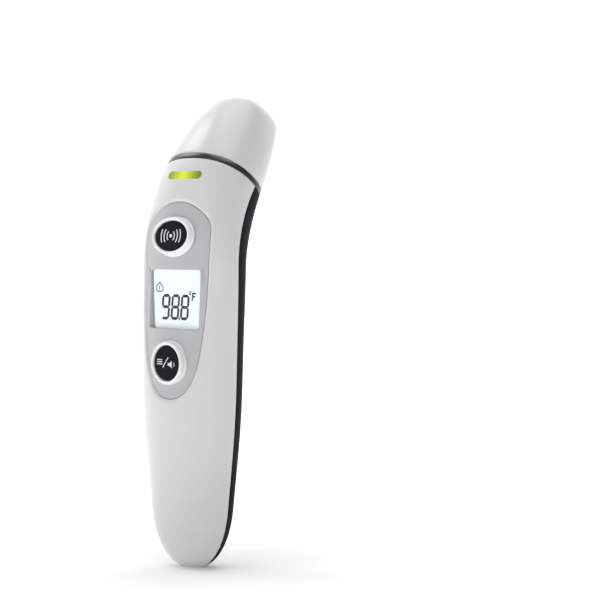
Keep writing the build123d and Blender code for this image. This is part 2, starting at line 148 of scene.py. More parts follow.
def skin_point(s, angle, inset=0.0):
    """Point on the skin: angle 0 is +X, 90 the back, -90 the front. Below s = 0 the flat foot closes."""
    shrink = 1 + min(s, 0)
    place = max(s, inset, 0)
    half_width, front, back = section_sizes(place, inset)
    turn = math.radians(angle)
    c, d = math.cos(turn), math.sin(turn)
    reach = (abs(c) ** SECTION_POWER + abs(d) ** SECTION_POWER) ** (-1 / SECTION_POWER)
    y, z, lean = spine(place)
    depth = (front if d < 0 else back) * d * reach * shrink
    return Vector((half_width * c * reach * shrink, y + depth * math.cos(lean), z - depth * math.sin(lean)))


def skin_place(x, z, front):
    """Distance along the centre line and angle of the skin point seen at (x, z)."""
    s = z
    for _ in range(30):
        half_width, front_depth, back_depth = section_sizes(max(s, 0), 0)
        share = min(abs(x) / half_width, 0.9999)
        rise = (1 - share**SECTION_POWER) ** (1 / SECTION_POWER)
        depth = -front_depth * rise if front else back_depth * rise
        y, centre_z, lean = spine(s)
        s += (z - (centre_z - depth * math.sin(lean))) * 0.8
    angle = math.degrees(math.atan2(-rise if front else rise, math.copysign(share, x)))
    return s, angle


def circle(radius, count):
    """Points round a circle."""
    return [
        (radius * math.cos(2 * math.pi * i / count), radius * math.sin(2 * math.pi * i / count))
        for i in range(count)
    ]


# ---- Pieces ----
def add_object(name, data):
    obj = bpy.data.objects.new(name, data)
    bpy.context.scene.collection.objects.link(obj)
    return obj


def add_mesh(name, points, faces):
    """New object from points in millimetres."""
    mesh = bpy.data.meshes.new(name)
    mesh.from_pydata([tuple(Vector(point) * MM) for point in points], [], faces)
    return add_object(name, mesh)


def finish_mesh(mesh, smooth):
    """Merges doubled points, turns the faces outward and shades them smooth up to an angle."""
    work = bmesh.new()
    work.from_mesh(mesh)
    bmesh.ops.remove_doubles(work, verts=work.verts, dist=1e-7)
    bmesh.ops.dissolve_degenerate(work, dist=1e-8, edges=work.edges)
    bmesh.ops.recalc_face_normals(work, faces=work.faces)
    limit = math.radians(smooth)
    for face in work.faces:
        face.smooth = True
    for edge in work.edges:
        if len(edge.link_faces) == 2 and edge.calc_face_angle(0) > limit:
            edge.smooth = False
    work.to_mesh(mesh)
    work.free()


def hand_over(obj, body, replaces, material, smooth):
    """Finishes and paints a piece, hangs it on the empty of the body it rides on and hides the nodes it
    stands for.
    """
    finish_mesh(obj.data, smooth)
    obj.data.materials.clear()
    obj.data.materials.append(material)
    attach(obj, body)
    if replaces:
        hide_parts(*replaces)
    return obj


def loop_faces(rows, columns, closed_rows=True):
    """Quads between rows of points, where each row is a closed loop."""
    faces = []
    for r in range(rows if closed_rows else rows - 1):
        this, following = r * columns, (r + 1) % rows * columns
        for c in range(columns):
            right = (c + 1) % columns
            faces.append((this + c, this + right, following + right, following + c))
    return faces


def piece_of_rows(name, rows, body, replaces, material, smooth=40):
    """Finished piece whose closed surface runs through rows of points."""
    points = [point for row in rows for point in row]
    obj = add_mesh(name, points, loop_faces(len(rows), len(rows[0])))
    return hand_over(obj, body, replaces, material, smooth)


# ---- Node trees, for materials and for geometry ----
def fill(tree, node, inputs):
    """Links an input when its value is another node's socket, and sets it otherwise."""
    for label, value in inputs.items():
        if isinstance(value, bpy.types.NodeSocket):
            tree.links.new(value, node.inputs[label])
        else:
            node.inputs[label].default_value = value


def add(tree, kind, inputs, **settings):
    node = tree.nodes.new(kind)
    for label, value in settings.items():
        setattr(node, label, value)
    fill(tree, node, inputs)
    return node


# ---- Materials ----
def tree_of(name):
    """New material, its tree and its shader."""
    material = bpy.data.materials.new(name)
    material.use_nodes = True
    return material, material.node_tree, material.node_tree.nodes["Principled BSDF"]


def object_coords(tree):
    return add(tree, "ShaderNodeTexCoord", {}).outputs["Object"]


def noise(tree, scale, detail=2.0, stretch=(1, 1, 1)):
    """Noise on object coordinates."""
    mapping = add(tree, "ShaderNodeMapping", {"Vector": object_coords(tree), "Scale": stretch})
    texture = add(tree, "ShaderNodeTexNoise", {
        "Vector": mapping.outputs["Vector"], "Scale": scale, "Detail": detail,
    })
    return texture.outputs["Fac"]


def ramp(tree, source, low, high, start=0.35, end=0.65):
    """Colour between low and high over a value."""
    node = add(tree, "ShaderNodeValToRGB", {"Fac": source})
    for element, position, colour in zip(node.color_ramp.elements, (start, end), (low, high)):
        element.position = position
        element.color = (*colour, 1)
    return node.outputs["Color"]


def relief(tree, source, strength):
    """Bumps a tenth of a millimetre deep."""
    return add(tree, "ShaderNodeBump", {
        "Strength": strength, "Distance": 0.1 * MM, "Height": source,
    }).outputs["Normal"]


def moulded(name, low, high, rough=(0.3, 0.4), grain=2500.0, bump=0.05, coat=0.0, patch=60.0, metal=0.0,
            specular=0.5, stretch=(1, 1, 1), emission=None, strength=0.0):
    """Plastic, metal or rubber with soft colour drift, uneven gloss and a fine surface grain."""
    material, tree, shader = tree_of(name)
    gloss = add(tree, "ShaderNodeMapRange", {
        "Value": noise(tree, patch * 2.3, 4.0, stretch), "To Min": rough[0], "To Max": rough[1],
    })
    fill(tree, shader, {
        "Base Color": ramp(tree, noise(tree, patch, 3.0), low, high),
        "Roughness": gloss.outputs["Result"],
        "Normal": relief(tree, noise(tree, grain, 2.0, stretch), bump),
        "Metallic": metal,
        "Specular IOR Level": specular,
        "Coat Weight": coat,
        "Coat Roughness": 0.12,
    })
    if emission:
        fill(tree, shader, {"Emission Color": (*emission, 1), "Emission Strength": strength})
    return material


white_shell = moulded("white_shell", (0.70, 0.695, 0.70), (0.71, 0.705, 0.71), (0.30, 0.34), 3500, 0.02,
                      coat=0.1)


button_ring_white = moulded("button_ring_white", (0.88, 0.88, 0.89), (0.90, 0.90, 0.91), (0.26, 0.3), 3500,
                            0.02, coat=0.1)


charcoal_shell = moulded("charcoal_shell", (0.014, 0.012, 0.017), (0.019, 0.017, 0.022), (0.48, 0.56), 5000,
                         0.25, specular=0.03)


black_ring = moulded("black_ring", (0.006, 0.006, 0.008), (0.012, 0.012, 0.014), (0.26, 0.32), 3000, 0.02,
                     specular=1.0)


grey_panel = moulded("grey_panel", (0.505, 0.50, 0.515), (0.52, 0.515, 0.53), (0.36, 0.42), 4500, 0.10)
legend_white = moulded("legend_white", (0.72, 0.72, 0.74), (0.82, 0.82, 0.84), (0.4, 0.5), 6000, 0.1)
rubber_black = moulded("rubber_black", (0.02, 0.02, 0.022), (0.035, 0.035, 0.037), (0.6, 0.75), 4000, 0.3)
probe_black = moulded("probe_black", (0.018, 0.018, 0.02), (0.028, 0.028, 0.03), (0.22, 0.34), 4000, 0.1)
tray_black = moulded("tray_black", (0.03, 0.03, 0.032), (0.045, 0.045, 0.047), (0.45, 0.6), 3500, 0.3)
nickel = moulded("nickel", (0.62, 0.60, 0.56), (0.74, 0.72, 0.68), (0.16, 0.3), 2500, 0.15, metal=1.0,
                 patch=300)


zinc_steel = moulded("zinc_steel", (0.40, 0.40, 0.42), (0.52, 0.52, 0.54), (0.28, 0.42), 3000, 0.3, metal=1.0,
                     patch=500)


brass = moulded("brass", (0.62, 0.44, 0.20), (0.74, 0.55, 0.28), (0.2, 0.32), 2500, 0.2, metal=1.0,
                stretch=(1, 1, 8))


gold_pad = moulded("gold_pad", (0.75, 0.52, 0.20), (0.86, 0.62, 0.28), (0.25, 0.35), 4000, 0.1, metal=1.0,
                   patch=400)


chip_black = moulded("chip_black", (0.012, 0.012, 0.012), (0.022, 0.022, 0.022), (0.5, 0.62), 6000, 0.4)
ivory = moulded("ivory", (0.62, 0.56, 0.43), (0.70, 0.64, 0.50), (0.45, 0.55), 3500, 0.15)
ceramic_tan = moulded("ceramic_tan", (0.36, 0.26, 0.16), (0.52, 0.42, 0.28), (0.35, 0.5), 4000, 0.2,
                      patch=500)


polyimide = moulded("polyimide", (0.52, 0.27, 0.04), (0.66, 0.38, 0.08), (0.25, 0.35), 3000, 0.1,
                    stretch=(8, 1, 1))


holder_white = moulded("holder_white", (0.70, 0.71, 0.72), (0.78, 0.79, 0.80), (0.4, 0.5), 3000, 0.1)
led_yellow = moulded("led_yellow", (0.75, 0.68, 0.25), (0.85, 0.78, 0.35), (0.3, 0.4), 4000, 0.1,
                     emission=(0.85, 1.0, 0.1), strength=2.0)


segment_black = moulded("segment_black", (0.010, 0.014, 0.018), (0.022, 0.026, 0.03), (0.4, 0.5), 5000, 0.05)
segment_grey = moulded("segment_grey", (0.20, 0.22, 0.23), (0.28, 0.30, 0.31), (0.4, 0.5), 5000, 0.05)
button_black = moulded("button_black", (0.008, 0.008, 0.011), (0.014, 0.014, 0.018), (0.42, 0.55), 7000, 0.35,
                       specular=0.06)


def make_board_green():
    """Solder mask with a faint pattern of tracks."""
    material, tree, shader = tree_of("board_green")
    turn = add(tree, "ShaderNodeMapping", {
        "Vector": object_coords(tree), "Rotation": (math.radians(90), 0, 0),
    })
    tracks = add(tree, "ShaderNodeTexBrick", {
        "Vector": turn.outputs["Vector"],
        "Scale": 260,
        "Color1": (0.010, 0.110, 0.040, 1),
        "Color2": (0.014, 0.135, 0.052, 1),
        "Mortar": (0.030, 0.220, 0.090, 1),
        "Mortar Size": 0.012,
    })
    fill(tree, shader, {
        "Base Color": tracks.outputs["Color"],
        "Normal": relief(tree, tracks.outputs["Fac"], 0.2),
        "Roughness": 0.32,
    })
    return material


def make_lcd_lit():
    """Backlit display: a cool white, a little brighter towards the middle."""
    material, tree, shader = tree_of("lcd_lit")
    place = add(tree, "ShaderNodeMapping", {
        "Vector": object_coords(tree), "Location": (0, 0, -DISPLAY_Z * MM),
    })
    away = add(tree, "ShaderNodeVectorMath", {"Vector": place.outputs["Vector"]}, operation="LENGTH")
    fade = add(tree, "ShaderNodeMapRange", {
        "Value": away.outputs["Value"], "From Min": 0.006, "From Max": 0.017,
    })
    glow = ramp(tree, fade.outputs["Result"], (0.93, 0.975, 0.985), (0.85, 0.90, 0.92), 0.0, 1.0)
    fill(tree, shader, {
        "Base Color": glow, "Emission Color": glow, "Emission Strength": 0.36, "Roughness": 0.3,
    })
    return material


def make_lens_green():
    """Lit yellow-green lens, brightest in the middle of its length."""
    material, tree, shader = tree_of("lens_green")
    along_x = add(tree, "ShaderNodeSeparateXYZ", {"Vector": object_coords(tree)}).outputs["X"]
    away = add(tree, "ShaderNodeMath", {"Value": along_x}, operation="ABSOLUTE")
    fade = add(tree, "ShaderNodeMapRange", {"Value": away.outputs["Value"], "From Max": 0.0072})
    glow = ramp(tree, fade.outputs["Result"], (0.66, 0.74, 0.07), (0.17, 0.21, 0.02), 0.1, 1.0)
    fill(tree, shader, {
        "Base Color": glow, "Emission Color": glow, "Emission Strength": 0.22, "Roughness": 0.2,
        "Specular IOR Level": 0.25,
    })
    return material


def make_clear(name, tint, roughness, ior):
    """Clear window with a barely visible unevenness."""
    material, tree, shader = tree_of(name)
    lighter = tuple(min(v * 1.02, 1) for v in tint)
    fill(tree, shader, {
        "Base Color": ramp(tree, noise(tree, 90, 1.0), tint, lighter),
        "Transmission Weight": 1.0, "Roughness": roughness, "IOR": ior,
    })
    return material


def make_cell_wrap():
    """Dark blue film round a cell."""
    material, tree, shader = tree_of("cell_wrap")
    drift = noise(tree, 300, 3.0, (1, 1, 0.05))
    fill(tree, shader, {
        "Base Color": ramp(tree, drift, (0.02, 0.06, 0.16), (0.03, 0.09, 0.22)),
        "Roughness": 0.25, "Metallic": 0.4, "Coat Weight": 0.6,
    })
    return material


board_green = make_board_green()
lcd_lit = make_lcd_lit()
lens_green = make_lens_green()
clear_window = make_clear("clear_window", (0.97, 0.99, 0.99), 0.02, 1.15)
sensor_glass = make_clear("sensor_glass", (0.30, 0.26, 0.34), 0.05, 1.6)
cell_wrap = make_cell_wrap()

KEPT = {
    "display_window": clear_window, "lcd_glass": lcd_lit, "lcd_backlight": holder_white,
    "lcd_connector_strips": rubber_black, "scan_switch": nickel, "memory_switch": nickel,
    "scan_switch_plunger": rubber_black, "memory_switch_plunger": rubber_black,
    "main_board": board_green, "sensor_board": board_green, "led_board": board_green,
    "controller_chip": chip_black, "buzzer": chip_black, "board_components": ceramic_tan,
    "lead_connector": ivory, "battery_tray": tray_black, "battery_contacts": nickel,
    "probe_gasket": rubber_black, "sensor_window": sensor_glass, "thermopile_sensor": nickel,
    "sensor_sleeve": brass, "sensor_lead": polyimide, "indicator_leds": led_yellow,
}
for node, material in KEPT.items():
    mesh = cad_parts[node].data
    mesh.materials.clear()
    mesh.materials.append(material)


# ---- Outlines, as (x, z) seen from the front ----
def tangent_arc(start, heading, end, count):
    """Points of the arc that leaves start along heading (radians), and its heading at the end."""
    dx, dz = end[0] - start[0], end[1] - start[1]
    chord = math.hypot(dx, dz)
    turn = 2 * (math.atan2(dz, dx) - heading)
    points = []
    for i in range(count):
        t = i / count
        if abs(turn) < 1e-6:
            points.append((start[0] + dx * t, start[1] + dz * t))
            continue
        radius = chord / (2 * math.sin(turn / 2))
        points.append((
            start[0] + radius * (math.sin(heading + turn * t) - math.sin(heading)),
            start[1] - radius * (math.cos(heading + turn * t) - math.cos(heading)),
        ))
    return points, heading + turn


def panel_outline():
    """Outline of the control panel: arcs up each side, rounded corners and one arc over the top."""
    side, heading = [], 0.0
    for start, end in zip(PANEL_SIDE, PANEL_SIDE[1:]):
        points, heading = tangent_arc(start, heading, end, 24)
        side += points
    corner = np.array(PANEL_SIDE[-1])
    rise = PANEL_TOP - corner[1]
    radius = (corner[0] ** 2 + rise**2) / (2 * rise)
    first = math.asin((corner[1] - (PANEL_TOP - radius)) / radius)
    top = []
    for i in range(41):
        angle = first + (math.pi / 2 - first) * i / 40
        top.append((radius * math.cos(angle), PANEL_TOP - radius + radius * math.sin(angle)))
    side = [p for p in side if np.hypot(*(corner - p)) > PANEL_CORNER]
    top = [p for p in top if np.hypot(*(corner - p)) > PANEL_CORNER]
    low, high = np.array(side[-1]), np.array(top[0])
    rounding = [(1 - u) ** 2 * low + 2 * u * (1 - u) * corner + u**2 * high for u in np.linspace(0.1, 0.9, 9)]
    right = side + [tuple(p) for p in rounding] + top
    return np.array(right + [(-x, z) for x, z in right[-2:0:-1]])


def rounded_rectangle(half_x, low, high, radius):
    """Outline with a point at least every half millimetre."""
    points = []
    for cx, cz, first in (
        (half_x - radius, high - radius, 0), (-half_x + radius, high - radius, 90),
        (-half_x + radius, low + radius, 180), (half_x - radius, low + radius, 270),
    ):
        for i in range(13):
            angle = math.radians(first + 90 * i / 12)
            points.append((cx + radius * math.cos(angle), cz + radius * math.sin(angle)))
    dense = []
    for (x0, z0), (x1, z1) in zip(points, points[1:] + points[:1]):
        steps = max(1, int(math.hypot(x1 - x0, z1 - z0) / 0.5))
        dense += [(x0 + (x1 - x0) * i / steps, z0 + (z1 - z0) * i / steps) for i in range(steps)]
    return np.array(dense)


# ---- Patches of the skin: rows run round a centre, from an inner edge to an outer edge ----
SEAM_TURN = 5.0   # degrees that the seam lies behind the widest line
MAP_HALF = 30.0   # half width of the flat map, seam to seam


class Patch:
    """Rays over the flat map (p, s) of the front or back half, from a centre through two edges."""

    def __init__(self, front, centre_z, rays=480):
        self.front = front
        self.middle = -90 if front else 90
        self.swing = (90 + (SEAM_TURN if front else -SEAM_TURN)) / MAP_HALF
        self.centre = np.array([0.0, skin_place(0, centre_z, front)[0]])
        corners = [(MAP_HALF, -1), (-MAP_HALF, -1), (MAP_HALF, RING_START), (-MAP_HALF, RING_START)]
        turns = [math.atan2(s - self.centre[1], p) % (2 * math.pi) for p, s in corners]
        self.turns = np.array(sorted(list(np.linspace(0, 2 * math.pi, rays, endpoint=False)) + turns))

    def edge(self, outline):
        """Distance from the centre to an (x, z) outline along each ray."""
        mapped = []
        for x, z in outline:
            s, angle = skin_place(x, z, self.front)
            if self.front and angle > 90:
                angle -= 360
            mapped.append(((angle - self.middle) / self.swing, s))
        mapped = np.array(mapped) - self.centre
        turn = np.arctan2(mapped[:, 1], mapped[:, 0]) % (2 * math.pi)
        reach = np.hypot(mapped[:, 0], mapped[:, 1])
        order = np.argsort(turn)
        turn, reach = turn[order], reach[order]
        return np.interp(self.turns, np.r_[turn - 2 * math.pi, turn, turn + 2 * math.pi], np.tile(reach, 3))

    def border(self):
        """Distance to the seam, the foot and the ring along each ray."""
        reach = []
        for turn in self.turns:
            c, d = math.cos(turn), math.sin(turn)
            side = MAP_HALF / abs(c) if abs(c) > 1e-9 else 1e9
            end = (RING_START - self.centre[1]) / d if d > 1e-9 else 1e9
            foot = (-1 - self.centre[1]) / d if d < -1e-9 else 1e9
            reach.append(min(side, end, foot))
        return np.array(reach)

    def row(self, reach, inset):
        """Points at a distance along each ray, inset mm below the skin."""
        points = []
        for turn, r in zip(self.turns, reach):
            p, s = r * math.cos(turn), self.centre[1] + r * math.sin(turn)
            points.append(skin_point(s, self.middle + p * self.swing, inset))
        return points


# Edge rounding, as (back from the edge, inset)
ROUND = ((0.0, 0.30), (0.03, 0.18), (0.09, 0.09), (0.18, 0.03), (0.30, 0.0))


def patch_rows(patch, inner, outer, top, bottom, steps, ease=1.0, rounding=1.0):
    """Closed rows of a shell patch: top skin from inner to outer edge, the wall, and back underneath."""
    rows = []
    span = outer - inner
    for back, drop in ROUND:
        rows.append(patch.row(inner + np.minimum(back * rounding, span * 0.2), top + drop * rounding))
    start = np.minimum(0.30 * rounding, span * 0.2)
    for i in range(1, steps):
        t = 1 - (1 - i / steps) ** ease
        rows.append(patch.row(inner + start + (span - start - 0.3) * t, top))
    for back, drop in ROUND[::-1]:
        rows.append(patch.row(outer - np.minimum(back, span * 0.2), top + drop))
    rows.append(patch.row(outer, bottom))
    for i in range(1, 12):
        rows.append(patch.row(outer - span * i / 12, bottom))
    rows.append(patch.row(inner, bottom))
    return rows


def make_front_cover():
    """White cover, with the panel's pocket and the ledge under it."""
    patch = Patch(True, DISPLAY_Z)
    inner = patch.edge(panel_outline()) + POCKET_GAP
    outer = patch.border() - SEAM_GAP
    rows = [
        patch.row(inner + LEDGE_HALF, LEDGE_BACK), patch.row(inner - LEDGE_HALF, LEDGE_BACK),
        patch.row(inner - LEDGE_HALF, PANEL_BACK), patch.row(inner, PANEL_BACK),
    ]
    rows += patch_rows(patch, inner, outer, 0.0, WALL, 64, ease=1.35, rounding=2.7)
    piece_of_rows("front_cover_shell", rows, "handset", ["front_cover"], white_shell)


def door_outline(gap):
    """Outline of the battery opening, gap mm smaller all round."""
    return rounded_rectangle(DOOR_HALF_WIDTH - gap, DOOR_BOTTOM + gap, DOOR_TOP - gap, DOOR_CORNER - gap)


def make_rear_cover():
    patch = Patch(False, (DOOR_BOTTOM + DOOR_TOP) / 2)
    inner = patch.edge(door_outline(0))
    outer = patch.border() - SEAM_GAP
    rows = patch_rows(patch, inner, outer, 0.0, WALL, 64, ease=1.35)
    return piece_of_rows("rear_cover_shell", rows, "handset", ["rear_cover"],
                         charcoal_shell)


def make_door():
    patch = Patch(False, (DOOR_BOTTOM + DOOR_TOP) / 2)
    outer = patch.edge(door_outline(DOOR_GAP))
    rows = [patch.row(outer * t, 0.0) for t in np.linspace(0.004, 0.97, 40)]
    rows += [patch.row(outer - back, drop) for back, drop in ROUND[::-1]]
    rows += [patch.row(outer * t, WALL) for t in (1.0, 0.8, 0.6, 0.4, 0.2, 0.004)]
    piece_of_rows("battery_cover_shell", rows, "battery_door", ["battery_cover"],
                  charcoal_shell)


def make_panel():
    """Grey panel with the display's opening. The button holes are cut later."""
    patch = Patch(True, DISPLAY_Z)
    half_x, half_z = DISPLAY_SIZE[0] / 2, DISPLAY_SIZE[1] / 2
    inner = patch.edge(rounded_rectangle(half_x, DISPLAY_Z - half_z, DISPLAY_Z + half_z, 0.8))
    outer = patch.edge(panel_outline()) - SEAM_GAP
    rows = [patch.row(inner, 2.9)] + patch_rows(patch, inner, outer, PANEL_DROP, PANEL_BACK, 36)
    return piece_of_rows("panel_face", rows, "handset", ["control_panel"], grey_panel)


make_front_cover()
rear_shell = make_rear_cover()
make_door()
panel_face = make_panel()


# ---- Head: cap, dark ring and probe, as rows across the centre line ----
def head_row(s, inset, radius=None, mix=0.0, columns=192):
    """Points across the head at s, turned by mix into a circle on the probe's axis."""
    y, z, lean = spine(s)
    row = []
    for i in range(columns):
        angle = 360 * i / columns
        point = skin_point(s, angle, inset)
        if radius is not None:
            turn = math.radians(angle)
            depth = PROBE_SHIFT + radius * math.sin(turn)
            x = radius * math.cos(turn)
            on_circle = Vector((x, y + depth * math.cos(lean), z - depth * math.sin(lean)))
            point = point.lerp(on_circle, mix)
        row.append(point)
    return row


def make_cap():
    """Forehead cap: a hollow shell that closes into a round rim at its tip."""
    aperture, rim = 4.7, 0.9
    shoulder, dome = 155.0, 3.9
    lip = ((0, 0.35), (0.05, 0.17), (0.17, 0.05), (0.35, 0))
    rows = [head_row(CAP_START + 0.02 + back, drop) for back, drop in lip]
    rows += [head_row(s, 0) for s in np.linspace(130.6, shoulder, 44)]
    for i in range(1, 13):
        t = i / 12
        rows.append(head_row(shoulder + dome * math.sin(t * math.pi / 2), 0, aperture + rim, t**2.2))
    for i in range(1, 7):
        turn = math.radians(15 * i)
        s = shoulder + dome + 0.25 * math.sin(2 * turn)
        rows.append(head_row(s, 0, aperture + rim * math.cos(turn), 1.0))
    rows.append(head_row(157.4, 0, aperture, 1.0))
    for s, mix in ((156.8, 0.9), (156.2, 0.6), (155.2, 0.3)):
        rows.append(head_row(s, CAP_WALL, aperture + 0.4, mix))
    rows += [head_row(s, CAP_WALL) for s in np.linspace(154.0, CAP_START + 0.05, 12)]
    piece_of_rows("cap_shell", rows, "cap", ["forehead_cap"], white_shell)


def make_head_ring():
    """Dark ring with the collar that the cap slides over."""
    collar_in, collar_out = CAP_WALL + 1.35, CAP_WALL + 0.2
    bore = 7.6
    profile = [
        (125.9, 3.1), (125.9, 2.12), (RING_START, 2.12), (RING_START, 0.32), (127.54, 0.18), (127.7, 0.06),
        (127.85, 0.03), (129.15, 0.03), (129.3, 0.06), (129.46, 0.18), (RING_END, 0.32),
        (RING_END, collar_out), (132.6, collar_out), (132.85, collar_out + 0.2), (132.85, collar_in),
        (RING_END, collar_in),
    ]
    rows = [head_row(s, inset) for s, inset in profile]
    rows += [head_row(RING_END, collar_in, bore, mix) for mix in (0.5, 1.0)]
    rows += [head_row(RING_START, collar_in, bore, 1.0), head_row(RING_START, 3.1, bore, 0.0)]
    piece_of_rows("dark_ring", rows, "handset", ["head_ring"], black_ring)


def make_probe():
    """Hollow cone on a flange, with a rounded tip and a seat for the sensor window."""
    cone_start, cone_length = 129.6, 21.7
    profile = [(8.8, 126.0), (8.8, 126.9), (8.7, 127.0), (7.4, 127.0), (7.4, cone_start)]
    for i in range(25):
        t = i / 24
        profile.append((4.35 + 3.05 * (1 - t) ** 1.25, cone_start + cone_length * t))
    for i in range(1, 6):
        turn = math.radians(18 * i)
        profile.append((3.85 + 0.5 * math.cos(turn), 151.4 + 0.6 * math.sin(turn)))
    profile += [(3.45, 152.0), (3.35, 151.9), (3.35, 151.2), (2.6, 151.2), (2.6, 150.3), (3.3, 150.2),
                (3.6, 147.5), (4.5, 142.0), (5.3, 137.0), (6.2, 129.5), (6.2, 126.0)]
    rows = [head_row(s, 0, radius, 1.0, 96) for radius, s in profile]
    piece_of_rows("ear_probe", rows, "handset", ["probe_housing"], probe_black)


make_cap()
make_head_ring()
make_probe()


# ---- Indicator lens, following the skin ----
def stadium(half_length, radius):
    """Long rounded bar, as (x, up), with points along its straight sides."""
    straight = half_length - radius
    points = []
    for side in (1, -1):
        for i in range(17):
            a = math.radians(-90 + 180 * i / 16)
            points.append((side * (straight + radius * math.cos(a)), side * radius * math.sin(a)))
        steps = 24
        points += [(side * straight * (1 - 2 * i / steps), side * radius) for i in range(1, steps)]
    return points


def make_lens():
    """Rounded bar that stands a little proud of the skin and follows it."""
    lean = math.radians(20)
    _, z, turn = spine(LENS_S)
    middle = z + section_sizes(LENS_S, 0)[1] * math.sin(turn)
    profile = [(share, -0.12) for share in np.linspace(0.01, 0.86, 14)]
    profile += [(0.91, -0.11), (0.955, -0.07), (0.985, 0.0), (1.0, 0.12), (1.0, 1.4)]
    profile += [(share, 1.4) for share in np.linspace(0.9, 0.01, 8)]
    outline = stadium(*LENS_HALF)
    rows = []
    for share, inset in profile:
        row = []
        for x, up in outline:
            s, angle = skin_place(x * share, middle + up * share * math.cos(lean), True)
            row.append(skin_point(s, angle, inset))
        rows.append(row)
    piece_of_rows("indicator_light", rows, "handset", ["indicator_lens"], lens_green)


make_lens()


# ---- Buttons and their rings ----
def panel_depth(z):
    """Y of the panel's face on the middle line."""
    s, _ = skin_place(0, z, True)
    return skin_point(s, -90, PANEL_DROP).y


class ButtonPlace:
    """Local frame at a button: height points out of the panel."""

    def __init__(self, z, tilt):
        lean = math.radians(tilt)
        self.origin = Vector((0, panel_depth(z), z))
        self.out = Vector((0, -math.cos(lean), math.sin(lean)))
        self.up = Vector((0, math.sin(lean), math.cos(lean)))

    def at(self, x, up, height):
        return self.origin + Vector((x, 0, 0)) + self.up * up + self.out * height


def oval_rows(place, half, profile):
    """Rows round an oval: each profile entry is (grow, height, share of the oval)."""
    rows = []
    for grow, height, share in profile:
        across, up = half[0] * share + grow, half[1] * share + grow
        rows.append([place.at(across * c, up * d, height) for c, d in circle(1, 128)])
    return rows


# Collar, as (growth of the oval, height below the collar's top)
RING_PROFILE = (
    (1.42, 4.4), (1.42, 2.4), (1.85, 2.15), (1.62, 1.85), (1.50, 1.5), (1.44, 1.0), (1.40, 0.6), (1.34, 0.32),
    (1.22, 0.14), (1.04, 0.04), (0.84, 0.02), (0.62, 0.04), (0.44, 0.12), (0.30, 0.28), (0.24, 0.5),
    (0.22, 1.1), (0.22, 4.4),
)
# Button, as (growth, height below its face, share of the oval)
BUTTON_PROFILE = (
    (0, 0, 0.01), (0, 0, 0.3), (0, 0, 0.6), (0, 0, 0.88), (-0.42, 0, 1), (-0.22, 0.03, 1), (-0.08, 0.12, 1),
    (-0.01, 0.28, 1), (0, 0.5, 1), (0, 4.2, 1), (0.95, 4.22, 1), (0.98, 4.3, 1), (0.98, 4.8, 1), (0, 4.86, 1),
    (0, 4.86, 0.01),
)


def make_button(name, place, half, body, nodes):
    """Collar on the panel and the keycap inside it."""
    ring = oval_rows(place, half, [(grow, COLLAR_RISE - down, 1) for grow, down in RING_PROFILE])
    piece_of_rows(name + "_collar", ring, "handset", [nodes[0]], button_ring_white)
    top = COLLAR_RISE - FACE_DROP
    face = oval_rows(place, half, [(grow, top - down, share) for grow, down, share in BUTTON_PROFILE])
    piece_of_rows(name + "_keycap", face, body, [nodes[1]], button_black)


scan_place = ButtonPlace(SCAN_Z, SCAN_TILT)
memory_place = ButtonPlace(MEMORY_Z, 0.0)
make_button("scan", scan_place, SCAN_HALF, "scan_key", ("scan_button_ring", "scan_button"))
make_button("memory", memory_place, MEMORY_HALF, "memory_key", ("memory_button_ring", "memory_button"))


# ---- Flat marks: legends and display figures ----
def prisms(name, outlines, at, heights, body, material):
    """Thin plates between two heights from 2-D outlines, placed by at(x, up, height)."""
    verts, faces = [], []
    low, high = heights
    for outline in outlines:
        first, count = len(verts), len(outline)
        verts += [at(x, u, high) for x, u in outline] + [at(x, u, low) for x, u in outline]
        faces.append(tuple(range(first, first + count)))
        faces.append(tuple(range(first + 2 * count - 1, first + count - 1, -1)))
        for i in range(count):
            j = (i + 1) % count
            faces.append((first + i, first + count + i, first + count + j, first + j))
    hand_over(add_mesh(name, verts, faces), body, (), material, 30)


def arc_band(cx, cz, radius, width, start, end, count=18):
    """Band along an arc, between two angles in degrees."""
    angles = [math.radians(start + (end - start) * i / count) for i in range(count + 1)]
    large, small = radius + width / 2, radius - width / 2
    outside = [(cx + large * math.cos(a), cz + large * math.sin(a)) for a in angles]
    inside = [(cx + small * math.cos(a), cz + small * math.sin(a)) for a in angles]
    return outside + inside[::-1]


def disc(cx, cz, radius):
    return [(cx + c, cz + d) for c, d in circle(radius, 24)]


def bar(x0, z0, x1, z1, width):
    dx, dz = x1 - x0, z1 - z0
    size = math.hypot(dx, dz)
    nx, nz = -dz / size * width / 2, dx / size * width / 2
    return [(x0 - nx, z0 - nz), (x1 - nx, z1 - nz), (x1 + nx, z1 + nz), (x0 + nx, z0 + nz)]


def scan_legend():
    """A dot with three waves on each side, for measuring by radiation."""
    outlines = [disc(0, 0, 0.62)]
    for i, radius in enumerate((1.75, 3.15, 4.55)):
        spread = 52 - 12 * i
        outlines.append(arc_band(0, 0, radius, 0.42, -spread, spread))
        outlines.append(arc_band(0, 0, radius, 0.42, 180 - spread, 180 + spread))
    return outlines


def memory_legend():
    """Stored list, a slash and a loudspeaker."""
    outlines = [bar(-4.4, z, -1.9, z, 0.34) for z in (-0.35, 0.35, 1.05)]
    outlines.append(bar(-1.7, -1.5, 0.9, 1.9, 0.34))
    outlines.append([(0.7, -0.75), (1.3, -0.75), (2.6, -1.55), (2.6, 0.85), (1.3, 0.05), (0.7, 0.05)])
    outlines.append(arc_band(2.7, -0.35, 1.0, 0.3, -38, 38, 8))
    return outlines


LEGEND = (COLLAR_RISE - FACE_DROP - 0.04, COLLAR_RISE - FACE_DROP + 0.025)
prisms("scan_legend", scan_legend(), scan_place.at, LEGEND, "scan_key", legend_white)
prisms("memory_legend", memory_legend(), memory_place.at, LEGEND, "memory_key", legend_white)

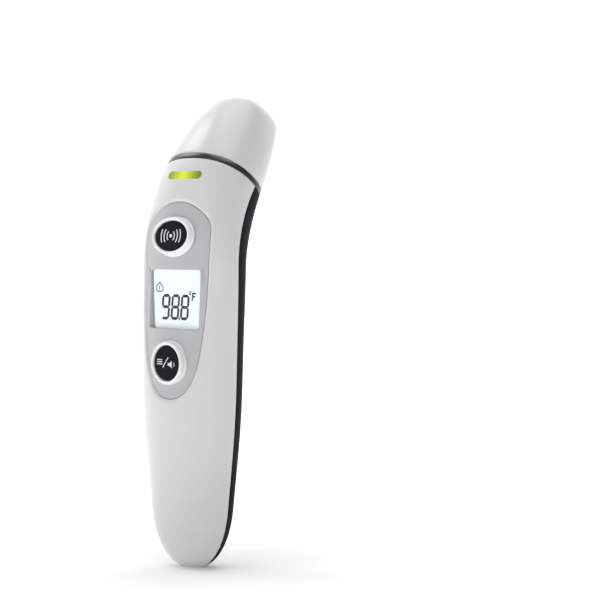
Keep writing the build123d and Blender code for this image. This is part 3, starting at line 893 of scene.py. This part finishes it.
SEGMENTS = {"a": (0, 2, 1, 2), "b": (1, 2, 1, 1), "c": (1, 1, 1, 0), "d": (0, 0, 1, 0), "e": (0, 1, 0, 0),
            "f": (0, 2, 0, 1), "g": (0, 1, 1, 1)}


DIGITS = {"9": "abcdfg", "8": "abcdefg"}


def digit(shape, left, low, width, height, thick, slant):
    """Seven-segment figure: each segment is a bar with pointed ends."""
    outlines = []
    for name in DIGITS[shape]:
        c0, r0, c1, r1 = SEGMENTS[name]
        x0, z0, x1, z1 = left + c0 * width, low + r0 * height / 2, left + c1 * width, low + r1 * height / 2
        length = math.hypot(x1 - x0, z1 - z0)
        dx, dz = (x1 - x0) / length, (z1 - z0) / length
        gap, half = 0.05, thick / 2
        corners = [(gap, 0), (gap + half, half), (length - gap - half, half), (length - gap, 0),
                   (length - gap - half, -half), (gap + half, -half)]
        outline = [(x0 + dx * u - dz * v, z0 + dz * u + dx * v) for u, v in corners]
        outlines.append([(x + (z - low) * slant, z) for x, z in outline])
    return outlines


def display_figures():
    low, height, width, slant = -6.3, 7.4, 3.0, 0.10
    outlines = []
    for shape, left in (("9", -6.45), ("8", -1.95), ("8", 2.55)):
        outlines += digit(shape, left, low, width, height, 0.98, slant)
    outlines.append(disc(1.78, low - 0.1, 0.42))
    return outlines


def degree_mark():
    """Degree ring and a slanted F made of bars."""
    outlines = [arc_band(6.9, 2.05, 0.45, 0.36, 0, 350, 20)]
    base = (7.9, -0.4)
    outlines.append(bar(base[0], base[1], base[0] + 0.35, base[1] + 2.6, 0.62))
    outlines.append(bar(base[0] + 0.35, base[1] + 2.4, base[0] + 1.9, base[1] + 2.4, 0.55))
    outlines.append(bar(base[0] + 0.2, base[1] + 1.35, base[0] + 1.45, base[1] + 1.3, 0.5))
    return outlines


def mode_mark():
    """Small outline sign of a house-shaped tag: the object and room mode."""
    points = [(-9.4, 3.6), (-7.6, 5.4), (-5.8, 3.6), (-6.3, 2.4), (-8.9, 2.4)]
    outlines = [bar(*points[i], *points[(i + 1) % 5], 0.45) for i in range(5)]
    outlines.append(bar(-7.6, 2.9, -7.6, 4.3, 0.55))
    return outlines


def on_display(x, up, height):
    return Vector((x + FIGURES_X, LCD_FRONT - height, DISPLAY_Z + up))


FILM = (0.0, 0.03)
prisms("display_figures", display_figures(), on_display, FILM, "handset", segment_black)
prisms("display_degree", degree_mark(), on_display, FILM, "handset", segment_black)
prisms("display_mode", mode_mark(), on_display, FILM, "handset", segment_grey)


# ---- Cells ----
def make_cell(name, x, low, button_up, node):
    """Cell in its film, with bare metal at both ends."""
    profile = [
        (0.05, 0), (4.3, 0), (4.5, 0.12), (4.95, 0.12), (5.15, 0.25), (5.2, 0.5), (5.2, 42.9), (5.15, 43.2),
        (4.9, 43.35), (4.4, 43.3), (4.2, 43.05), (2.1, 43.05), (1.9, 43.3), (1.9, 44.3), (1.7, CELL_LENGTH),
        (0.05, CELL_LENGTH),
    ]
    rows = []
    for radius, height in profile:
        z = low + height if button_up else low + CELL_LENGTH - height
        rows.append([Vector((x + c, CELL_Y + d, z)) for c, d in circle(radius, 64)])
    obj = piece_of_rows(name, rows, "handset", [node], cell_wrap, 30)
    obj.data.materials.append(nickel)
    for face in obj.data.polygons:
        height = face.center.z / MM - low
        from_button = CELL_LENGTH - height if button_up else height
        if from_button < 1.6 or from_button > 44.1:
            face.material_index = 1


make_cell("cell_left", -CELL_X, 17.4, True, "battery_left")
make_cell("cell_right", CELL_X, 12.8, False, "battery_right")


# ---- Geometry Nodes: springs, screws, grip dots and board pads ----
def new_tree(name, *labels):
    """Geometry node group with named number inputs; returns the tree and its two end nodes."""
    tree = bpy.data.node_groups.new(name, "GeometryNodeTree")
    tree.interface.new_socket("Geometry", in_out="INPUT", socket_type="NodeSocketGeometry")
    tree.interface.new_socket("Geometry", in_out="OUTPUT", socket_type="NodeSocketGeometry")
    for label in labels:
        tree.interface.new_socket(label, in_out="INPUT", socket_type="NodeSocketFloat")
    return tree, tree.nodes.new("NodeGroupInput"), tree.nodes.new("NodeGroupOutput")


def close_tree(tree, end, points, instance, material, **inputs):
    """Sets an instance on every point and ends the tree in Realize Instances and Set Material."""
    place = add(tree, "GeometryNodeInstanceOnPoints", {"Points": points, "Instance": instance, **inputs})
    solid = add(tree, "GeometryNodeRealizeInstances", {"Geometry": place.outputs["Instances"]})
    paint = add(tree, "GeometryNodeSetMaterial", {
        "Geometry": solid.outputs["Geometry"], "Material": material,
    })
    tree.links.new(paint.outputs["Geometry"], end.inputs["Geometry"])
    return tree


def run_tree(name, tree, values, verts, faces, body, replaces, material):
    """Runs the tree on a base mesh and keeps the result as a plain mesh."""
    holder = add_mesh(name + "_base", verts, faces)
    modifier = holder.modifiers.new("nodes", "NODES")
    modifier.node_group = tree
    for item in tree.interface.items_tree:
        if item.item_type == "SOCKET" and item.in_out == "INPUT" and item.name in values:
            modifier[item.identifier] = values[item.name]
    shown = holder.evaluated_get(bpy.context.evaluated_depsgraph_get())
    mesh = bpy.data.meshes.new_from_object(shown)
    mesh.name = name
    bpy.data.objects.remove(holder)
    hand_over(add_object(name, mesh), body, replaces, material, 40)


def spring_tree():
    """Coil of round wire."""
    tree, start, end = new_tree("contact_spring", "Coil Radius", "Wire Radius", "Height", "Turns")
    spiral = add(tree, "GeometryNodeCurveSpiral", {
        "Resolution": 24,
        "Start Radius": start.outputs["Coil Radius"],
        "End Radius": start.outputs["Coil Radius"],
        "Height": start.outputs["Height"],
        "Rotations": start.outputs["Turns"],
    })
    wire = add(tree, "GeometryNodeCurvePrimitiveCircle", {
        "Resolution": 10, "Radius": start.outputs["Wire Radius"],
    })
    coil = add(tree, "GeometryNodeCurveToMesh", {
        "Fill Caps": True, "Curve": spiral.outputs["Curve"], "Profile Curve": wire.outputs["Curve"],
    })
    return close_tree(tree, end, start.outputs["Geometry"], coil.outputs["Mesh"], nickel)


run_tree(
    "contact_springs", spring_tree(),
    {"Coil Radius": 3.05 * MM, "Wire Radius": 0.3 * MM, "Height": 3.9 * MM, "Turns": 4.5},
    [(-CELL_X, CELL_Y, 13.15), (CELL_X, CELL_Y, 57.65)], [],
    "handset", ["battery_springs"], nickel,
)


def dots_tree():
    tree, start, end = new_tree("grip_dots", "Dot Radius")
    dot = add(tree, "GeometryNodeMeshUVSphere", {
        "Segments": 16, "Rings": 10, "Radius": start.outputs["Dot Radius"],
    })
    return close_tree(tree, end, start.outputs["Geometry"], dot.outputs["Mesh"], charcoal_shell)


def grip_points():
    """Rows of points near the top of the battery cover, narrowing downwards."""
    top, pitch, inset = 60.0, 1.9, 0.30
    points = []
    for row in range(5):
        for column in range(-4 + row // 2, 5 - row // 2):
            s, angle = skin_place((column + 0.5 * (row % 2)) * pitch, top - row * pitch, False)
            points.append(skin_point(s, angle, inset))
    return points


run_tree(
    "door_grip_dots", dots_tree(), {"Dot Radius": 0.55 * MM}, grip_points(), [],
    "battery_door", [], charcoal_shell,
)


def screw_rows():
    """Pan head with a cross recess, axis along Y, head at the back."""
    columns = 32
    rows = []
    for r, y in ((0.02, -8.2), (0.6, -8.0), (1.0, -7.4), (1.0, 0.0), (1.9, 0.0), (1.9, 0.8), (1.75, 1.15),
                 (1.4, 1.3), (0.95, 1.3), (0.8, 0.75), (0.02, 0.6)):
        recess = 0.1 <= r <= 1.0 and y >= 0.7
        row = []
        for i in range(columns):
            a = 2 * math.pi * i / columns
            radius = r * (0.55 + 0.45 * abs(math.cos(2 * a)) ** 2.5 if recess else 1.0)
            row.append(Vector((radius * math.cos(a), y, radius * math.sin(a))))
        rows.append(row)
    return rows


def screws_tree(template):
    tree, start, end = new_tree("case_screws", "Scale")
    source = add(tree, "GeometryNodeObjectInfo", {"Object": template})
    size = add(tree, "ShaderNodeCombineXYZ", {axis: start.outputs["Scale"] for axis in "XYZ"})
    return close_tree(tree, end, start.outputs["Geometry"], source.outputs["Geometry"], zinc_steel,
                      Scale=size.outputs["Vector"])


def make_screws():
    rows = screw_rows()
    faces = loop_faces(len(rows), len(rows[0]), False)
    template = add_mesh("screw_template", [point for row in rows for point in row], faces)
    run_tree(
        "cover_screws", screws_tree(template), {"Scale": 1.0},
        [(x, SCREW_SEAT, z) for x, z in SCREW_PLACES], [],
        "handset", ["case_screws"], zinc_steel,
    )
    bpy.data.objects.remove(template)


make_screws()


def pads_tree():
    """Round pads scattered over a face."""
    tree, start, end = new_tree("board_pads", "Density", "Pad Radius")
    spread = add(tree, "GeometryNodeDistributePointsOnFaces", {
        "Mesh": start.outputs["Geometry"],
        "Distance Min": 1.1 * MM,
        "Density Max": start.outputs["Density"],
        "Seed": 7,
    }, distribute_method="POISSON")
    pad = add(tree, "GeometryNodeMeshCylinder", {
        "Vertices": 14, "Depth": 0.05 * MM, "Radius": start.outputs["Pad Radius"],
    })
    return close_tree(tree, end, spread.outputs["Points"], pad.outputs["Mesh"], gold_pad,
                      Rotation=spread.outputs["Rotation"])


board_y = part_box("main_board")[1].y / MM + 0.01
run_tree(
    "board_pads", pads_tree(), {"Density": 400000.0, "Pad Radius": 0.32 * MM},
    [(-11, board_y, 74), (11, board_y, 74), (11, board_y, 84), (-11, board_y, 84)], [(0, 3, 2, 1)],
    "handset", [], gold_pad,
)


# ---- Openings cut in the shells ----
def cut(target, cutters):
    """Cuts closed meshes out of a piece and keeps the result."""
    for cutter in cutters:
        modifier = target.modifiers.new("cut", "BOOLEAN")
        modifier.operation = "DIFFERENCE"
        modifier.solver = "EXACT"
        modifier.object = cutter
    shown = target.evaluated_get(bpy.context.evaluated_depsgraph_get())
    mesh = bpy.data.meshes.new_from_object(shown)
    target.modifiers.clear()
    old = target.data
    target.data = mesh
    mesh.name = old.name
    for cutter in cutters:
        bpy.data.objects.remove(cutter)


def cutter(name, rows):
    """Closed solid between two or more rows, with flat ends."""
    count = len(rows[0])
    faces = loop_faces(len(rows), count, False)
    faces.append(tuple(range(count))[::-1])
    faces.append(tuple(range((len(rows) - 1) * count, len(rows) * count)))
    obj = add_mesh(name, [point for row in rows for point in row], faces)
    finish_mesh(obj.data, 40)
    return obj


def button_hole(name, place, half):
    return cutter(name, oval_rows(place, half, [(BUTTON_HOLE, -4, 1), (BUTTON_HOLE, 4, 1)]))


def screw_row(x, z, radius, y):
    """Circle round a screw's axis, at depth y."""
    return [Vector((x + c, y, z + d)) for c, d in circle(radius, 48)]


def screw_well(x, z):
    return cutter("screw_well", [screw_row(x, z, WELL_RADIUS, y) for y in (SCREW_SEAT, 30.0)])


cut(rear_shell, [screw_well(x, z) for x, z in SCREW_PLACES])
cut(panel_face, [
    button_hole("scan_hole", scan_place, SCAN_HALF),
    button_hole("memory_hole", memory_place, MEMORY_HALF),
])


def make_screw_boss(name, x, z):
    """Tube that lines a screw's well, from the seat out to the skin."""
    outside = skin_point(*skin_place(x, z, False), 0.9).y
    profile = (
        (WELL_RADIUS, SCREW_SEAT), (WELL_RADIUS, outside), (3.0, outside - 0.6), (3.0, -0.4), (1.15, -0.4),
        (1.15, SCREW_SEAT),
    )
    rows = [screw_row(x, z, radius, y) for radius, y in profile]
    piece_of_rows(name, rows, "handset", [], charcoal_shell, 30)


for index, (x, z) in enumerate(SCREW_PLACES):
    make_screw_boss(f"screw_boss_{index + 1}", x, z)


# ---- Floor, light and camera ----
AZIMUTH = math.radians(43.5)
ELEVATION = math.radians(2.0)
RIGHT = Vector((math.cos(AZIMUTH), math.sin(AZIMUTH), 0))
UP = Vector((
    -math.sin(AZIMUTH) * math.sin(ELEVATION), math.cos(AZIMUTH) * math.sin(ELEVATION), math.cos(ELEVATION),
))
BACK = RIGHT.cross(UP)
MIDDLE = Vector((0, 0, 0.085))
VIEW_WIDTH = 0.1974


def make_painted_glow_floor():
    """Paper with a painted glow that runs out to plain white away from the object and is weakest near it, a
    painted shade round its foot.
    """
    material, tree, shader = tree_of("studio_white")
    away = add(tree, "ShaderNodeVectorMath", {"Vector": object_coords(tree)}, operation="LENGTH")
    # Painted shade: the glow drops close to the object, so the floor round its foot is darker.
    fade = add(tree, "ShaderNodeMapRange", {
        "Value": away.outputs["Value"], "From Min": 0.02, "From Max": 0.20, "To Min": 0.18, "To Max": 0.85,
    }, interpolation_type="SMOOTHSTEP")
    fill(tree, shader, {
        "Base Color": ramp(tree, noise(tree, 400, 2.0), (0.87, 0.87, 0.87), (0.89, 0.89, 0.89)),
        "Emission Color": (1, 1, 1, 1),
        "Emission Strength": fade.outputs["Result"],
        "Roughness": 0.8,
        "Specular IOR Level": 0.0,
    })
    return material


def make_stage():
    """Floor that curves up into a wall behind the object."""
    across, depth, reach, bend, top = 3.5, 1.1, 4.0, 0.5, 1.8
    forward = Vector((BACK.x, BACK.y, 0)).normalized()
    profile = [(-reach, 0.0), (depth - bend, 0.0)]
    profile += [(depth - bend + bend * math.sin(a), bend - bend * math.cos(a))
                for a in (math.radians(6 * k) for k in range(1, 16))]
    profile.append((depth, top))
    verts = [RIGHT * side - forward * away + Vector((0, 0, height))
             for away, height in profile for side in (-across, across)]
    mesh = bpy.data.meshes.new("sweep")
    mesh.from_pydata([tuple(v) for v in verts], [],
                     [(2 * i, 2 * i + 1, 2 * i + 3, 2 * i + 2) for i in range(len(profile) - 1)])
    for face in mesh.polygons:
        face.use_smooth = True
    sweep = add_object("sweep", mesh)
    mesh.materials.append(make_painted_glow_floor())


def make_sky():
    """Even soft light from all round."""
    world = bpy.context.scene.world or bpy.data.worlds.new("World")
    bpy.context.scene.world = world
    world.use_nodes = True
    sky = world.node_tree.nodes["Background"]
    sky.inputs["Color"].default_value = (1, 1, 1, 1)
    sky.inputs["Strength"].default_value = 0.16


def make_lamp(name, offset, size, power):
    """Round lamp at an offset from the object's middle, pointed at it."""
    data = bpy.data.lights.new(name, "AREA")
    data.shape = "DISK"
    data.size = size
    data.energy = power
    obj = add_object(name, data)
    obj.location = MIDDLE + offset
    obj.rotation_euler = (-offset).to_track_quat("-Z", "Y").to_euler()


def make_camera():
    data = bpy.data.cameras.new("camera")
    data.lens = 120
    data.sensor_width = 36
    data.clip_start = 0.01
    distance = VIEW_WIDTH * data.lens / data.sensor_width
    obj = add_object("camera", data)
    obj.location = RIGHT * 0.0353 + UP * 0.0875 + BACK * distance
    obj.rotation_euler = (-BACK).to_track_quat("-Z", "Y").to_euler()
    bpy.context.scene.camera = obj


make_stage()
make_sky()
make_camera()
make_lamp("key", Vector((0, 0, 0.2)) - RIGHT * 0.5 + BACK * 0.34, 0.35, 0.48)
make_lamp("rim", Vector((0, 0, 0.53)) - RIGHT * 0.47 - BACK * 0.26, 0.22, 0.6)
make_lamp("top", Vector((0, 0, 0.8)), 0.9, 4.4)
bpy.context.scene.view_settings.view_transform = "Standard"
